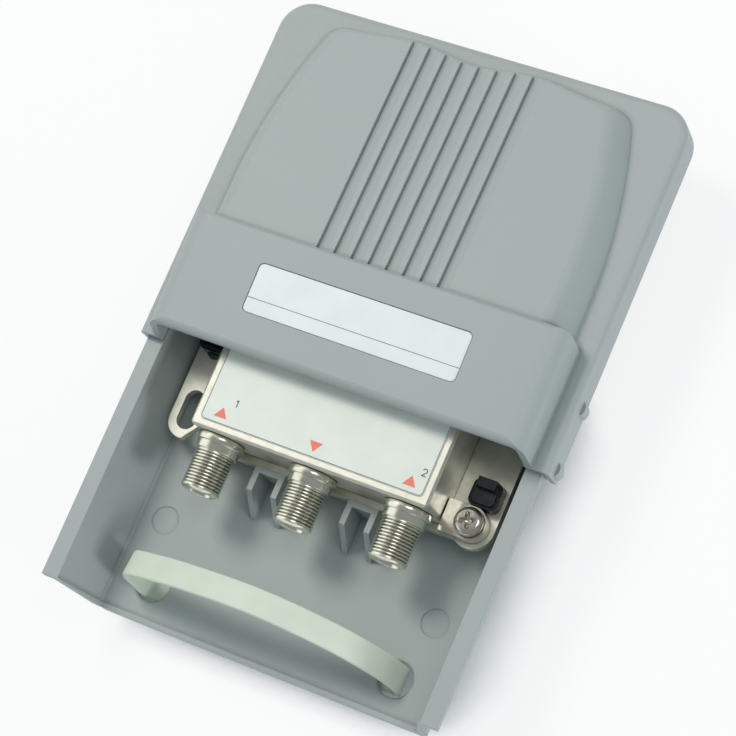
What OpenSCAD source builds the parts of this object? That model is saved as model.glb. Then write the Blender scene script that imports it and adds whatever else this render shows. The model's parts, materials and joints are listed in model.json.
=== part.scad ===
// Satellite switch in a weather housing: a die-cast switch box with three threaded ports,
// fastened in a moulded tray whose cover slides along the tray's rim lips.
// The part lies on its back, ports towards -Y, and the cover is drawn slid up.

/* [Switch box] */
// Width of the switch box
module_w = 62.4; // [56:0.2:76]
// Depth of the switch box, from its port face to its back
module_d = 34.5; // [32:0.5:46]
// Height of the box above its pan
module_h = 14.6; // [14:0.2:20]
// Wall of the die-cast box
module_wall = 1.8; // [1.4:0.1:2.4]
// Radius of the box's upright corners
module_r = 1.6; // [1:0.1:2.5]
// Height of the pan under the box
pan_h = 4.5; // [4:0.1:6]
// How far the pan's rim stands out beyond the box
pan_rim = 0.8; // [0.4:0.1:1.4]
// Floor of the pan
pan_floor = 1.5; // [1:0.1:2]
// Width of each fixing ear
ear_w = 12.3; // [11:0.1:14]
// Thickness of each fixing ear
ear_t = 2.2; // [1.6:0.1:3]
// Width of the slots in the ears
slot_w = 5; // [4:0.1:5.6]
// Length of the slots in the ears
slot_len = 10; // [8:0.5:12]

/* [Ports] */
// Distance between neighbouring ports
port_pitch = 24.8; // [22:0.1:26]
// Height of the port axes above the pan
port_rise = 7.6; // [7:0.1:8.4]
// Outer diameter of the port thread
port_d = 9.525; // [9:0.025:10.2]
// Length of the port thread
port_thread_len = 10; // [8:0.5:12]
// Diameter of the port's first shoulder
shoulder_d = 11.6; // [11:0.1:12.4]
// Length of each of the two shoulders
shoulder_len = 1.95; // [1.5:0.05:2.5]
// Bore of the port, which the insulator fills
port_bore_d = 7.2; // [6.4:0.1:7.6]
// Diameter of the spring contact
contact_d = 2.2; // [1.8:0.1:2.8]

/* [Tray] */
// Length of the cable space in front of the box
cable_room = 45.7; // [42:0.1:60]
// Room behind the box, up to the tray's end wall
rear_room = 7.1; // [6.5:0.1:12]
// Room between an ear's underside and the tray's leaning wall
side_room = 1; // [0.6:0.1:2]
// How far each side wall leans out from floor to rim
wall_lean = 4.6; // [3:0.1:7]
// Wall of the tray
wall_t = 2.1; // [1.6:0.1:2.6]
// Floor of the tray
floor_t = 2; // [1.6:0.1:2.6]
// Height of the tray from its underside to its rim
tray_h = 19.5; // [18:0.1:24]
// Width of the rim lips
lip_w = 4.2; // [3.6:0.1:5]
// Thickness of the rim lips
lip_t = 2; // [1.6:0.1:2.4]
// Depth of the mast saddle behind the tray
back_depth = 7; // [6.8:0.1:9]
// Diameter of the mast that the saddle fits
mast_d = 50; // [38:1:60]
// Thickness of the saddle's ribs
rib_t = 2.4; // [2:0.1:3]
// Height of the rails that carry the pan
pan_rail_h = 2.5; // [2.4:0.1:4]

/* [Tie] */
// Distance between the two tie holes
tie_spacing = 65.4; // [56:0.2:70]
// Distance of the tie holes from the tray's front edge
tie_setback = 9.5; // [8:0.1:12]
// Diameter of the tie holes
tie_hole_d = 8.6; // [8:0.1:9.4]
// Width of the tie's strap
tie_w = 6.5; // [4.8:0.1:7]
// Thickness of the tie's strap
tie_t = 1.3; // [1:0.1:1.5]
// Height of the tie's arch above the tray's floor
tie_rise = 18; // [14:0.5:20]

/* [Cover] */
// How far the cover is slid up from its closed place
cover_open = 62.7; // [0:0.1:62.7]
// Thickness of the flange
flange_t = 2; // [1.6:0.1:2.4]
// Height of the skirt, flange included
skirt_h = 9.2; // [8.6:0.1:11]
// Wall of the skirt
skirt_t = 1.4; // [1.2:0.1:2]
// Radius of the flange's far corners
corner_r = 8; // [6:0.5:12]
// Radius of the flange's upper edge
flange_edge = 1.6; // [0.8:0.1:1.8]
// Sliding gap between the cover and the rim lips
rail_gap = 0.35; // [0.25:0.05:0.5]
// Thickness of the rail lips
rail_lip_t = 2; // [1.6:0.1:2.4]
// Gap left behind the tray when the cover is closed
end_gap = 0.5; // [0.3:0.1:1]
// Wall of the dome and the collar
dome_wall = 2; // [1.6:0.1:2.2]
// Room between the box's label and the dome
head_room = 1.7; // [1.4:0.1:4]
// How much the dome rises from its far end to the collar
dome_climb = 3.7; // [2:0.1:5]
// How far the dome's foot stays clear of the flange's far edge
dome_setback = 3; // [2.5:0.1:5]
// Depth of the wave in the dome's far edge
dome_wave = 1.7; // [0.5:0.1:2.5]
// How far the dome narrows on each side towards its far end
dome_taper = 8.1; // [5:0.1:9]
// Radius of the dome's far corners
dome_corner_r = 6; // [5:0.5:8]
// Length of the collar
collar_len = 30.4; // [28:0.1:34]
// Step from the dome up to the collar
collar_step = 1.4; // [1:0.1:2]
// Radius of the collar's upper edges
collar_r = 4.8; // [4:0.1:6]
// Radius of the collar's rear corners
collar_corner_r = 3; // [2:0.5:5]
// How much the collar drops towards its mouth
collar_drop = 1.3; // [0.8:0.1:1.6]
// Number of grooves in the dome
groove_count = 8; // [4:1:10]
// Distance between neighbouring grooves
groove_pitch = 4.5; // [3.6:0.1:5]
// Depth of the grooves
groove_depth = 0.9; // [0.5:0.1:1]
// Width of the cover's label
cover_label_w = 55.2; // [40:0.2:64]
// Height of the cover's label along the slide
cover_label_h = 12; // [9:0.2:14]

/* [Earth terminal] */
// Diameter of the screw's shank
screw_d = 3.5; // [3:0.1:4]
// Diameter of the screw's head
screw_head_d = 7; // [6:0.1:7.4]
// Height of the screw's head
screw_head_h = 2.4; // [2:0.1:3]
// Width of the clamp plate
clamp_w = 8; // [7.6:0.1:9]
// Thickness of the clamp plate
clamp_t = 1.5; // [1.2:0.1:2]
// Height of the cast pad under the clamp plate
pad_h = 2; // [1.6:0.1:2.6]

/* [Hidden] */
$fn = 64;
grey = [0.64, 0.68, 0.66];
nickel = [0.80, 0.80, 0.76];
tin = [0.74, 0.74, 0.72];
foil = [0.93, 0.94, 0.92];
black = [0.07, 0.08, 0.09];
nylon = [0.86, 0.89, 0.80];
white = [0.95, 0.95, 0.93];
board_green = [0.10, 0.38, 0.20];
ceramic = [0.72, 0.60, 0.45];

// Small clearances and overcuts
fit_gap = 0.05;
seat_gap = 0.3;
cut = 1;
label_t = 0.2;

// Lengths along the slide
module_rear = cable_room + module_d;
tray_len = module_rear + rear_room + wall_t;
cover_len = tray_len + end_gap + skirt_t;
front_y = -(cover_open + cover_len) / 2;
cover_y = front_y + cover_open;
module_y = front_y + cable_room;

// Heights
floor_z = back_depth + floor_t;
rim_z = back_depth + tray_h;
pan_z = floor_z + pan_rail_h;
plate_z = pan_z + pan_h;
ear_rise = plate_z - ear_t - floor_z;
module_top = plate_z + module_h;
port_z = plate_z + port_rise;
flange_z = rim_z + rail_gap;
flange_top = flange_z + flange_t;
skirt_z = flange_top - skirt_h;

// Widths
ear_half = module_w / 2 + ear_w;
floor_half = ear_half + side_room - wall_lean * ear_rise / (rim_z - floor_z);
rim_half = floor_half + wall_lean;
tray_half = rim_half + lip_w;
skirt_half = tray_half + rail_gap;
cover_half = skirt_half + skirt_t;
rail_lip_w = lip_w - wall_t;

// Skirt's grip nubs
nub_len = 3.4;
nub_out = 0.8;
nub_h = 4;
nub_places = [2.6, 17.8];

// Dome: its foot on the flange, its crown inside that outline and the wall between them
dome_side = 6.1;
dome_tuck = 8;
dome_even = 11.6;
dome_wave_pitch = 33;
crown_side = 6.2;
crown_far = 2.2;
crown_r = 4;
wall_run = 0.5;
wall_rise = 0.7;
outline_steps = 12;
dome_far_top = max(module_top + label_t + head_room + dome_wall, flange_top + 2 * dome_wall);
dome_near_top = dome_far_top + dome_climb;
dome_half = cover_half - dome_side;
dome_far_y = cover_len - dome_setback;
dome_trough_y = dome_far_y - dome_wave;
dome_near_y = collar_len - dome_tuck;
dome_even_y = collar_len + dome_even;
groove_ramp = 0.7 * groove_pitch;
groove_shift = -0.7;

// Collar
collar_side = 4;
collar_draft = 0.6;
collar_inner_r = 1.8;
collar_lean = 1.5;
collar_break = 0.7;
lip_r = 2.2;
collar_top = dome_near_top + collar_step;
collar_half = cover_half - collar_side;
collar_front_y = collar_lean + lip_r;
collar_rear_y = collar_len - collar_break;
collar_tilt = atan2(collar_drop, collar_rear_y - collar_front_y);
label_r = 1.2;
label_rim = 0.2;
label_shift = 0.7;
label_middle = collar_len / 2 + 1.5;

// Tray details
floor_fillet = 0.8;
outer_fillet = 3;
bead = 0.6;
bead_len = 1.1;
front_rake = 0.8;
tie_hole_bevel = 0.4;
lip_drop = 2.6;
edge_t = 1.6;
saddle_clear = 0.3;
rib_half = 40;
rib_count = 3;
rib_front = 22.4;
rib_rear = 15;
rib_pitch = (tray_len - rib_front - rib_rear) / (rib_count - 1);
stop_w = 8;
stop_t = 1.5;
stop_level = 4.6;
stop_slope = 5;
mark_d = 7;
mark_inset = 6.8;
mark_gap = 15.3;
mark_x = floor_half - mark_inset;
mark_y = tie_setback + mark_gap;
mark_depth = 0.2;
pan_rail_x = 18;
pan_rail_w = 3;

// Pan and ears
pan_front = 1.8;
pan_rear = 1;
pan_wall = 2;
ear_front = 2;
ear_rear = 2;
ear_r = 4.5;
ear_tip = 5.1;
ear_cut = 11.3;
ear_root = module_w / 2 + pan_rim - pan_wall;
slot_inset = 4.5;
slot_front_y = 5.3;
slot_rear_inset = 10.8;
slot_short = 6.6;
slot_x = ear_half - slot_inset;
slot_rear_y = module_d - slot_rear_inset;
peg_right_y = 9.6;
peg_left_shift = 0.5;
peg_left_y = slot_rear_y - peg_left_shift;
peg_d = 3.6;
peg_neck_d = slot_w - 2 * seat_gap;
peg_boss_d = 9;
peg_head_w = 7.2;
peg_head_d = 6.8;
peg_head_r = 1.8;
peg_head_h = 3.4;
peg_step = 0.7;
peg_step_h = 0.6;
peg_tab_w = 4.7;
peg_tab_d = 2.4;
peg_tab_h = 1.5;
peg_tab_y = 0.9;

// Earth terminal
term_gap = 3;
term_x = module_w / 2 + clamp_w / 2 + term_gap;
term_y = 2.1;
clamp_r = clamp_w / 2;
screw_len = 8;
recess_depth = 1.3;
recess_w = 0.9;
recess_len = 4;
recess_turn = 20;
head_rim = 0.6 * screw_head_h;
head_slope = 0.8;

// Box and ports
top_wall = 1.6;
edge_break = 0.6;
inner_top = module_top - top_wall;
box_label_inset = 2;
spigot_d = port_d - 1.1;
spigot_len = module_wall + 2;
thread_start = 2 * shoulder_len;
port_tip = thread_start + port_thread_len;
tip_chamfer = 0.7;
insulator_recess = 0.8;
contact_recess = 1.2;
socket_d = 1.1;
socket_len = 8;

// Inside of the box
boss_d = 5.2;
boss_inset = module_wall + boss_d / 2 - seat_gap;
boss_drill = 7;
tail_d = 0.8;
board_t = 1.6;
board_top = port_z - tail_d / 2 - fit_gap;
board_front = 7.2;
board_rear = module_d - 7.6;
board_side = 0.8;
board_half = module_w / 2 - module_wall - board_side;
post_d = 5;
post_inset = 4;
post_x = 0.75 * port_pitch;
post_drill = 6;
thread_d = 2.2;
clear_d = thread_d + 0.4;
shank_d = thread_d - 2 * fit_gap;
board_screw_d = 4;
board_screw_h = 1.4;
board_screw_len = 5;
plate_screw_d = 4.4;
plate_screw_h = 1.6;
plate_screw_grip = 5.5;
fence_t = 0.5;
fence_inset = 0.6;
tail_end = board_front + 3.4;
part_gap = 0.8;
chip = [8.6, 4, 1.5];
chip_y = 13;
chip_legs = 7;
leg_pitch = 1.27;
leg = [0.4, 1.1, 0.6];
diode = [2.6, 1.4, 1.1];
diode_pitch = 4;
diode_x = (port_pitch + fence_t + diode[0]) / 2 + part_gap;
diode_y = 9;
choke_d = 3.6;
choke_core_d = 2.4;
choke_h = 4;
choke_disc = 0.8;
choke_y = 5.6;
capacitor = [1.6, 1.2, 0.9];
capacitor_pitch = 3.4;
capacitor_y = 8.4;
regulator_d = 4.8;
regulator_h = 4.4;
regulator_flat = 1.4;
regulator_x = (port_pitch - fence_t - regulator_d) / 2 - part_gap;
regulator_y = 14.5;

// Points of an arc, centre first, angles in degrees
function arc(c, r, a, b, steps = 6) =
    [for (i = [0 : steps]) c + r * [cos(a + (b - a) * i / steps), sin(a + (b - a) * i / steps)]];

// The same points mirrored to the other side, in reverse order
function mirrored(points) = [for (i = [len(points) - 1 : -1 : 0]) [-points[i][0], points[i][1]]];

// Mean of a list of points
function middle(points) = [for (p = points) 1] * points / len(points);

// Closed solid through rings of equally many points, each anticlockwise seen from above,
// with its ends filled by triangles about their middles
module loft(rings) {
    n = len(rings[0]);
    top = (len(rings) - 1) * n;
    foot_middle = len(rings) * n;
    top_middle = foot_middle + 1;
    walls = [for (k = [0 : len(rings) - 2], i = [0 : n - 1])
        let (a = k * n + i, b = k * n + (i + 1) % n)
        each [[a, a + n, b], [b, a + n, b + n]]];
    ends = [for (i = [0 : n - 1])
        let (j = (i + 1) % n)
        each [[foot_middle, i, j], [top_middle, top + j, top + i]]];
    polyhedron(concat([for (ring = rings) each ring], [middle(rings[0]), middle(rings[len(rings) - 1])]),
               concat(walls, ends));
}

// A flat shape drawn in width and height, pulled along the slide
module along_y(length) {
    translate([0, length, 0]) rotate([90, 0, 0]) linear_extrude(length) children();
}

// A flat shape drawn in length and height, pulled across the part and centred
module across_x(width) {
    translate([-width / 2, 0, 0]) rotate([90, 0, 90]) linear_extrude(width) children();
}

// Rectangle centred on the origin, with round corners
module round_rect(w, h, r) {
    square([w - 2 * r, h], center = true);
    square([w, h - 2 * r], center = true);
    for (x = [-1, 1], y = [-1, 1]) translate([x * (w / 2 - r), y * (h / 2 - r)]) circle(r);
}

// Outline with square front corners on the x axis and round far corners
module far_round(half, length, r) {
    translate([-half, 0]) square([2 * half, length - r]);
    translate([r - half, 0]) square([2 * (half - r), length]);
    for (side = [-1, 1]) translate([side * (half - r), length - r]) circle(r);
}

// Slot with round ends, long way along y
module slot(w, length) {
    square([w, length - w], center = true);
    for (end = [-1, 1]) translate([0, end * (length - w) / 2]) circle(w / 2);
}

// Tray

// Inner outline of the tray's section, drawn in by some amount, with a fillet at the wall's foot
module tray_hollow(inset) {
    z = floor_z + inset;
    h = rim_z - floor_z;
    run = norm([wall_lean, h]);
    lean = atan2(wall_lean, h);
    foot = floor_half - inset + wall_lean * inset / h;
    centre = [foot - floor_fillet * (run - wall_lean) / h, z + floor_fillet];
    top = [rim_half - inset + wall_lean * cut / h, rim_z + cut];
    side = concat(arc(centre, floor_fillet, -90, -lean), [top]);
    polygon(concat(side, mirrored(side)));
}

// Outer outline of the tray's section without its lips
module tray_block() {
    foot = floor_half + wall_t;
    side = concat(arc([foot - outer_fillet, back_depth + outer_fillet], outer_fillet, -90, -10),
                  [[rim_half + wall_t, rim_z]]);
    polygon(concat(side, mirrored(side)));
}

module tray_section(inset) {
    difference() {
        union() {
            tray_block();
            for (side = [-1, 1])
                translate([side * (tray_half + rim_half) / 2, rim_z - lip_t / 2])
                    square([lip_w, lip_t], center = true);
        }
        tray_hollow(inset);
    }
}

// Shell of the tray: the drawn section, a bead along its open front and an end wall
module tray_shell() {
    intersection() {
        union() {
            along_y(tray_len) tray_section(0);
            along_y(bead_len) tray_section(bead);
            translate([0, tray_len - wall_t, 0]) along_y(wall_t) tray_block();
        }
        linear_extrude(rim_z + cut) far_round(tray_half, tray_len, corner_r - skirt_t);
    }
}

// Stop in front of the box: a cross wall with two side webs that run down to the floor
module box_stop() {
    top = port_z - port_d / 2 - seat_gap;
    wall_y = cable_room - pan_front - seat_gap;
    for (side = [-1, 1])
        translate([side * (stop_w - stop_t) / 2, 0, 0])
            across_x(stop_t)
                polygon([[wall_y, floor_z], [wall_y, top], [wall_y - stop_t - stop_level, top],
                         [wall_y - stop_t - stop_level - stop_slope, floor_z]]);
    translate([-stop_w / 2, wall_y - stop_t, floor_z]) cube([stop_w, stop_t, top - floor_z]);
}

// Ribs behind the tray, hollowed to seat on a mast
module mast_saddle() {
    rise = back_depth - lip_drop - saddle_clear;
    for (i = [0 : rib_count - 1])
        translate([0, rib_front + i * rib_pitch - rib_t / 2, 0])
            along_y(rib_t)
                difference() {
                    translate([-rib_half, 0]) square([2 * rib_half, back_depth]);
                    translate([0, rise - mast_d / 2]) circle(mast_d / 2);
                }
}

module base_tray() color(grey) translate([0, front_y, 0]) difference() {
    union() {
        tray_shell();
        translate([-floor_half, 0, back_depth - lip_drop]) cube([2 * floor_half, edge_t, lip_drop]);
        mast_saddle();
        for (side = [-1, 1]) {
            translate([side * port_pitch / 2, 0, 0]) box_stop();
            translate([side * pan_rail_x - pan_rail_w / 2, cable_room, floor_z])
                cube([pan_rail_w, module_d, pan_rail_h]);
        }
        peg_places() cylinder(d = peg_boss_d, h = ear_rise);
    }
    peg_places() cylinder(d = peg_d, h = ear_rise + cut);
    bevel_h = tie_hole_bevel + cut;
    for (side = [-1, 1]) {
        translate([side * tie_spacing / 2, tie_setback, 0]) {
            cylinder(d = tie_hole_d, h = floor_z + cut);
            translate([0, 0, floor_z - tie_hole_bevel])
                cylinder(d1 = tie_hole_d, d2 = tie_hole_d + 2 * bevel_h, h = bevel_h);
        }
        translate([side * mark_x, mark_y, floor_z - mark_depth]) cylinder(d = mark_d, h = cut);
    }
    across_x(2 * tray_half + 2 * cut)
        polygon([[-cut, floor_z + bead], [0, floor_z + bead], [front_rake, rim_z], [front_rake, rim_z + cut],
                 [-cut, rim_z + cut]]);
}

// The two places on the tray's floor where pegs hold the ears
module peg_places() {
    translate([slot_x, cable_room + peg_right_y, floor_z]) children();
    translate([-slot_x, cable_room + peg_left_y, floor_z]) children();
}

// Cover

// Height of the dome's crown, which falls evenly from the collar to the far end
function dome_top(y) = dome_near_top - dome_climb * (y - dome_near_y) / (dome_far_y - dome_near_y);

// How far along its narrowing stretch the dome is, from 0 to 1
function dome_draw(y) = max(y - dome_even_y, 0) / (dome_trough_y - dome_even_y);

// Half width of the dome's foot, and the angle at which its side runs inwards there
function dome_foot(y) = dome_half - dome_taper * pow(dome_draw(y), 2);
function dome_lean(y) = atan(2 * dome_taper * dome_draw(y) / (dome_trough_y - dome_even_y));

// Far edge of the dome's foot: a wave with two crests, level beyond them
function dome_far(x) = dome_far_y - dome_wave * (1 + cos(360 * min(abs(x) / dome_wave_pitch, 1))) / 2;

// Outline of the dome from the near end round, drawn in at the sides and at the far end
function dome_outline(side, far, r, near) =
    let (corner_y = dome_trough_y - far - r,
         lean = dome_lean(corner_y),
         join_y = corner_y + r * sin(lean),
         corner_x = dome_foot(join_y) - side - r * cos(lean),
         flank = [for (i = [0 : outline_steps - 1])
             let (y = near + (join_y - near) * i / outline_steps) [dome_foot(y) - side, y]],
         edge = [for (i = [1 : outline_steps - 1])
             let (x = corner_x * (1 - i / outline_steps)) [x, dome_far(x) - far]],
         right = concat(flank, arc([corner_x, corner_y], r, lean, 90), edge))
    concat(right, [[0, dome_far(0) - far]], mirrored(right));

// Shares of the way in and up along the dome's wall: straight from the foot, then round to the crown
dome_wall_line = concat([[0, 0]], [for (t = [0 : 0.25 : 1])
    pow(1 - t, 2) * [wall_run, wall_rise] + 2 * t * (1 - t) * [wall_run / wall_rise, 1] + t * t * [1, 1]]);

// Rings of the dome from its foot up, drawn in by some amount and reaching that deep into the flange
function dome_rings(inset, depth, near) =
    let (foot = dome_outline(inset, inset, dome_corner_r - inset, near),
         crown = dome_outline(crown_side, crown_far, crown_r, near))
    concat([[for (p = foot) [p[0], p[1], flange_top - depth]]],
           [for (share = dome_wall_line) [for (i = [0 : len(foot) - 1])
               let (p = foot[i] + share[0] * (crown[i] - foot[i]),
                    rise = dome_top(crown[i][1]) - inset - flange_top)
               [p[0], p[1], flange_top + share[1] * rise]]]);

// Groove cuts: a steep left side and a ramp up to the right, along the falling crown
module dome_grooves() {
    fall = atan2(dome_climb, dome_far_y - dome_near_y);
    reach = norm([dome_far_y - dome_near_y, dome_climb]) + cut;
    for (i = [0 : groove_count - 1])
        translate([(i - (groove_count - 1) / 2) * groove_pitch + groove_shift, dome_near_y, dome_near_top])
            rotate([-fall, 0, 0])
                along_y(reach)
                    polygon([[0, cut], [0, -groove_depth], [groove_ramp, 0], [groove_ramp, cut]]);
}

// Collar's section across the slide, drawn in by some amount, heights from its top
module collar_section(inset, r) {
    shoulder = collar_half - collar_draft;
    depth = collar_top - skirt_z + cut;
    slope = collar_draft / (collar_top - collar_r - flange_top);
    foot = shoulder + slope * (depth - collar_r);
    side = concat([[foot - inset, -depth]], arc([shoulder - inset - r, -inset - r], r, 0, 90, 10));
    polygon(concat(side, mirrored(side)));
}

// The collar's section pulled along its top, which falls to the mouth
module collar_block(inset, r) {
    translate([0, collar_rear_y, collar_top]) rotate([collar_tilt, 0, 0])
        translate([0, -collar_len - 3 * cut, 0]) along_y(collar_len + 5 * cut) collar_section(inset, r);
}

// Collar's ends along the slide: front leaning back into a round lip, rear edge broken
module collar_ends() {
    lip = [collar_front_y, collar_top - collar_drop - lip_r + fit_gap];
    polygon(concat([[0, flange_z]], arc(lip, lip_r, 180, 90),
                   [[collar_front_y, collar_top + cut], [collar_rear_y - cut, collar_top + cut],
                    [collar_len, collar_top - collar_break], [collar_len + collar_break, flange_z]]));
}

module collar_form() {
    intersection() {
        collar_block(0, collar_r);
        across_x(2 * cover_half) collar_ends();
        translate([0, 0, flange_z]) linear_extrude(collar_top + cut - flange_z)
            far_round(collar_half, collar_len + collar_break, collar_corner_r);
    }
}

// Space inside the collar, open at the mouth and below
module collar_hollow() {
    intersection() {
        collar_block(dome_wall, collar_inner_r);
        translate([-cover_half, -cut, skirt_z])
            cube([2 * cover_half, collar_len - dome_wall + cut, collar_top - skirt_z]);
    }
}

// Outline of the flange, drawn in by some amount
function flange_outline(inset) =
    let (corner = [cover_half - corner_r, cover_len - corner_r],
         right = concat([[cover_half - inset, 0]], arc(corner, corner_r - inset, 0, 90, 10)))
    concat(right, mirrored(right));

// Flange with its round upper edge and a skirt round three sides
module cover_shell() {
    rim = arc([flange_edge, flange_top - flange_edge], flange_edge, 180, 90);
    difference() {
        loft([for (level = concat([[0, skirt_z]], rim))
            [for (p = flange_outline(level[0])) [p[0], p[1], level[1]]]]);
        translate([0, -cut, skirt_z - cut]) linear_extrude(flange_z - skirt_z + cut)
            far_round(skirt_half, cover_len + cut - skirt_t, corner_r - skirt_t);
    }
}

// Rail lips that run under the tray's lips
module cover_rails() {
    for (side = [-1, 1])
        translate([side * (skirt_half - rail_lip_w / 2), (cover_len - corner_r) / 2,
                   rim_z - lip_t - rail_gap - rail_lip_t / 2])
            cube([rail_lip_w + 2 * fit_gap, cover_len - corner_r, rail_lip_t], center = true);
}

// Small round nubs outside on the skirt's lower edge, to push the cover by
module grip_nubs() {
    r = (pow(nub_len / 2, 2) + pow(nub_out, 2)) / (2 * nub_out);
    for (side = [-1, 1], y = nub_places)
        intersection() {
            translate([side * (cover_half + nub_out - r), y, skirt_z]) cylinder(r = r, h = nub_h);
            translate([side * cover_half, y, skirt_z + nub_h / 2])
                cube([skirt_t + nub_out, nub_len, nub_h + cut], center = true);
        }
}

// Places a flat piece on the collar's falling top, its upper face that deep under the surface
module on_collar(depth) {
    translate([label_shift, cover_y + collar_rear_y, collar_top])
        rotate([collar_tilt, 0, 0])
            translate([0, label_middle - collar_rear_y, -depth])
                children();
}

module weather_cover() color(grey) difference() {
    translate([0, cover_y, 0]) difference() {
        union() {
            cover_shell();
            cover_rails();
            grip_nubs();
            difference() {
                loft(dome_rings(0, flange_t / 2, dome_near_y));
                dome_grooves();
            }
            collar_form();
        }
        loft(dome_rings(dome_wall, flange_t + cut, dome_near_y - cut));
        collar_hollow();
    }
    on_collar(2 * label_t) linear_extrude(cut)
        round_rect(cover_label_w + 2 * label_rim, cover_label_h + 2 * label_rim, label_r + label_rim);
}

module cover_label() color(foil) on_collar(2 * label_t)
    linear_extrude(label_t) round_rect(cover_label_w, cover_label_h, label_r);

// Switch box

// Puts children in the box's own frame: y from its port face
module in_module() {
    translate([0, module_y, 0]) children();
}

// Die-cast box with a chamfered top edge, open below
module switch_housing() color(nickel) in_module() difference() {
    union() {
        difference() {
            intersection() {
                translate([0, module_d / 2, plate_z]) linear_extrude(module_h)
                    round_rect(module_w, module_d, module_r);
                along_y(module_d) chamfered(module_w, module_h);
                translate([0, module_d / 2, 0]) across_x(module_w) chamfered(module_d, module_h);
            }
            translate([0, module_d / 2, plate_z - cut]) linear_extrude(inner_top - plate_z + cut)
                round_rect(module_w - 2 * module_wall, module_d - 2 * module_wall, module_r / 2);
        }
        plate_screw_places() cylinder(d = boss_d, h = module_h - top_wall / 2);
    }
    for (i = [-1 : 1]) translate([i * port_pitch, -cut, port_z]) rotate([-90, 0, 0])
        cylinder(d = spigot_d + 2 * fit_gap, h = module_wall + 2 * cut);
    plate_screw_places() translate([0, 0, -cut]) cylinder(d = thread_d, h = boss_drill + cut);
}

// Upright section of the box with its top edges broken
module chamfered(w, h) {
    c = edge_break;
    polygon([[-w / 2, plate_z], [w / 2, plate_z], [w / 2, plate_z + h - c], [w / 2 - c, plate_z + h],
             [c - w / 2, plate_z + h], [-w / 2, plate_z + h - c]]);
}

// The four places where screws hold the pan, at the joint between pan and box
module plate_screw_places() {
    for (side = [-1, 1]) {
        translate([side * port_pitch / 2, boss_inset, plate_z]) children();
        translate([side * (module_w / 2 - boss_inset), module_d - boss_inset, plate_z]) children();
    }
}

// The four places where screws hold the board, at the board's upper face
module board_screw_places() {
    for (side = [-1, 1], y = [board_front + post_inset, board_rear - post_inset])
        translate([side * post_x, y, board_top]) children();
}

// Outline of the earth pad and the clamp plate: straight at the box, round outside
module terminal_outline() {
    inner = module_w / 2 + seat_gap - term_x;
    circle(clamp_r);
    translate([inner, -clamp_r]) square([-inner, clamp_w]);
}

// Pan with slotted ears and the cast earth pad
module switch_plate() color(nickel) in_module() difference() {
    union() {
        difference() {
            translate([0, (module_d + pan_rear - pan_front) / 2, pan_z]) linear_extrude(pan_h)
                round_rect(module_w + 2 * pan_rim, module_d + pan_front + pan_rear, module_r);
            translate([0, module_d / 2, pan_z + pan_floor]) linear_extrude(pan_h)
                round_rect(module_w + 2 * pan_rim - 2 * pan_wall, module_d - pan_wall, module_r);
        }
        translate([0, 0, plate_z - ear_t]) {
            linear_extrude(ear_t) right_ear();
            mirror([1, 0, 0]) linear_extrude(ear_t) left_ear();
        }
        translate([term_x, term_y, plate_z]) linear_extrude(pad_h) terminal_outline();
        board_screw_places() mirror([0, 0, 1]) translate([0, 0, board_t])
            cylinder(d = post_d, h = board_top - board_t - pan_z - pan_floor);
        plate_screw_places() mirror([0, 0, 1]) cylinder(d = boss_d, h = pan_h);
    }
    ear_slot(-slot_x, slot_front_y, slot_len);
    ear_slot(-slot_x, slot_rear_y, slot_len);
    ear_slot(slot_x, peg_right_y, slot_short);
    translate([term_x, term_y, pan_z - cut]) cylinder(d = screw_d + 2 * fit_gap, h = pan_h + pad_h + 2 * cut);
    board_screw_places() translate([0, 0, -post_drill]) cylinder(d = thread_d, h = post_drill + cut);
    plate_screw_places() translate([0, 0, -pan_h - cut]) cylinder(d = clear_d, h = pan_h + 2 * cut);
}

// Cut for a slot in an ear
module ear_slot(x, y, length) {
    translate([x, y, plate_z - ear_t - cut]) linear_extrude(ear_t + 2 * cut) slot(slot_w, length);
}

// Ear from the given place back: a straight outer edge and a round rear corner
module ear_edge(front) {
    length = module_d - ear_rear - front;
    translate([ear_root, front]) square([ear_half - ear_root, length - ear_r]);
    translate([ear_root, front]) square([ear_half - ear_root - ear_r, length]);
    translate([ear_half - ear_r, front + length - ear_r]) circle(ear_r);
}

// Right ear: its front end is round about the earth terminal
module right_ear() {
    ear_edge(term_y);
    translate([term_x, term_y]) circle(ear_half - term_x);
    translate([ear_root, -ear_front]) square([term_x - ear_root, ear_front + term_y]);
}

// Left ear, drawn on the right: a round front corner and a slanted cut from its tip back to the box
module left_ear() {
    tip = ear_half - ear_tip;
    difference() {
        union() {
            ear_edge(ear_r - ear_front);
            translate([ear_half - ear_r, ear_r - ear_front]) circle(ear_r);
            translate([ear_root, -ear_front]) square([ear_half - ear_root - ear_r, ear_r]);
        }
        polygon([[tip, -ear_front - cut], [tip, -ear_front], [ear_root, ear_cut - ear_front],
                 [ear_root - cut, ear_cut - ear_front], [ear_root - cut, -ear_front - cut]]);
    }
}

module switch_label() color(foil) in_module()
    translate([0, module_d / 2, module_top]) linear_extrude(label_t)
        round_rect(module_w - 2 * box_label_inset, module_d - 2 * box_label_inset, label_r);

// Ports: turned bodies along -Y, drawn as radius and distance out of the box's face

module at_port(i) {
    in_module() translate([i * port_pitch, 0, port_z]) rotate([90, 0, 0]) children();
}

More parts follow.
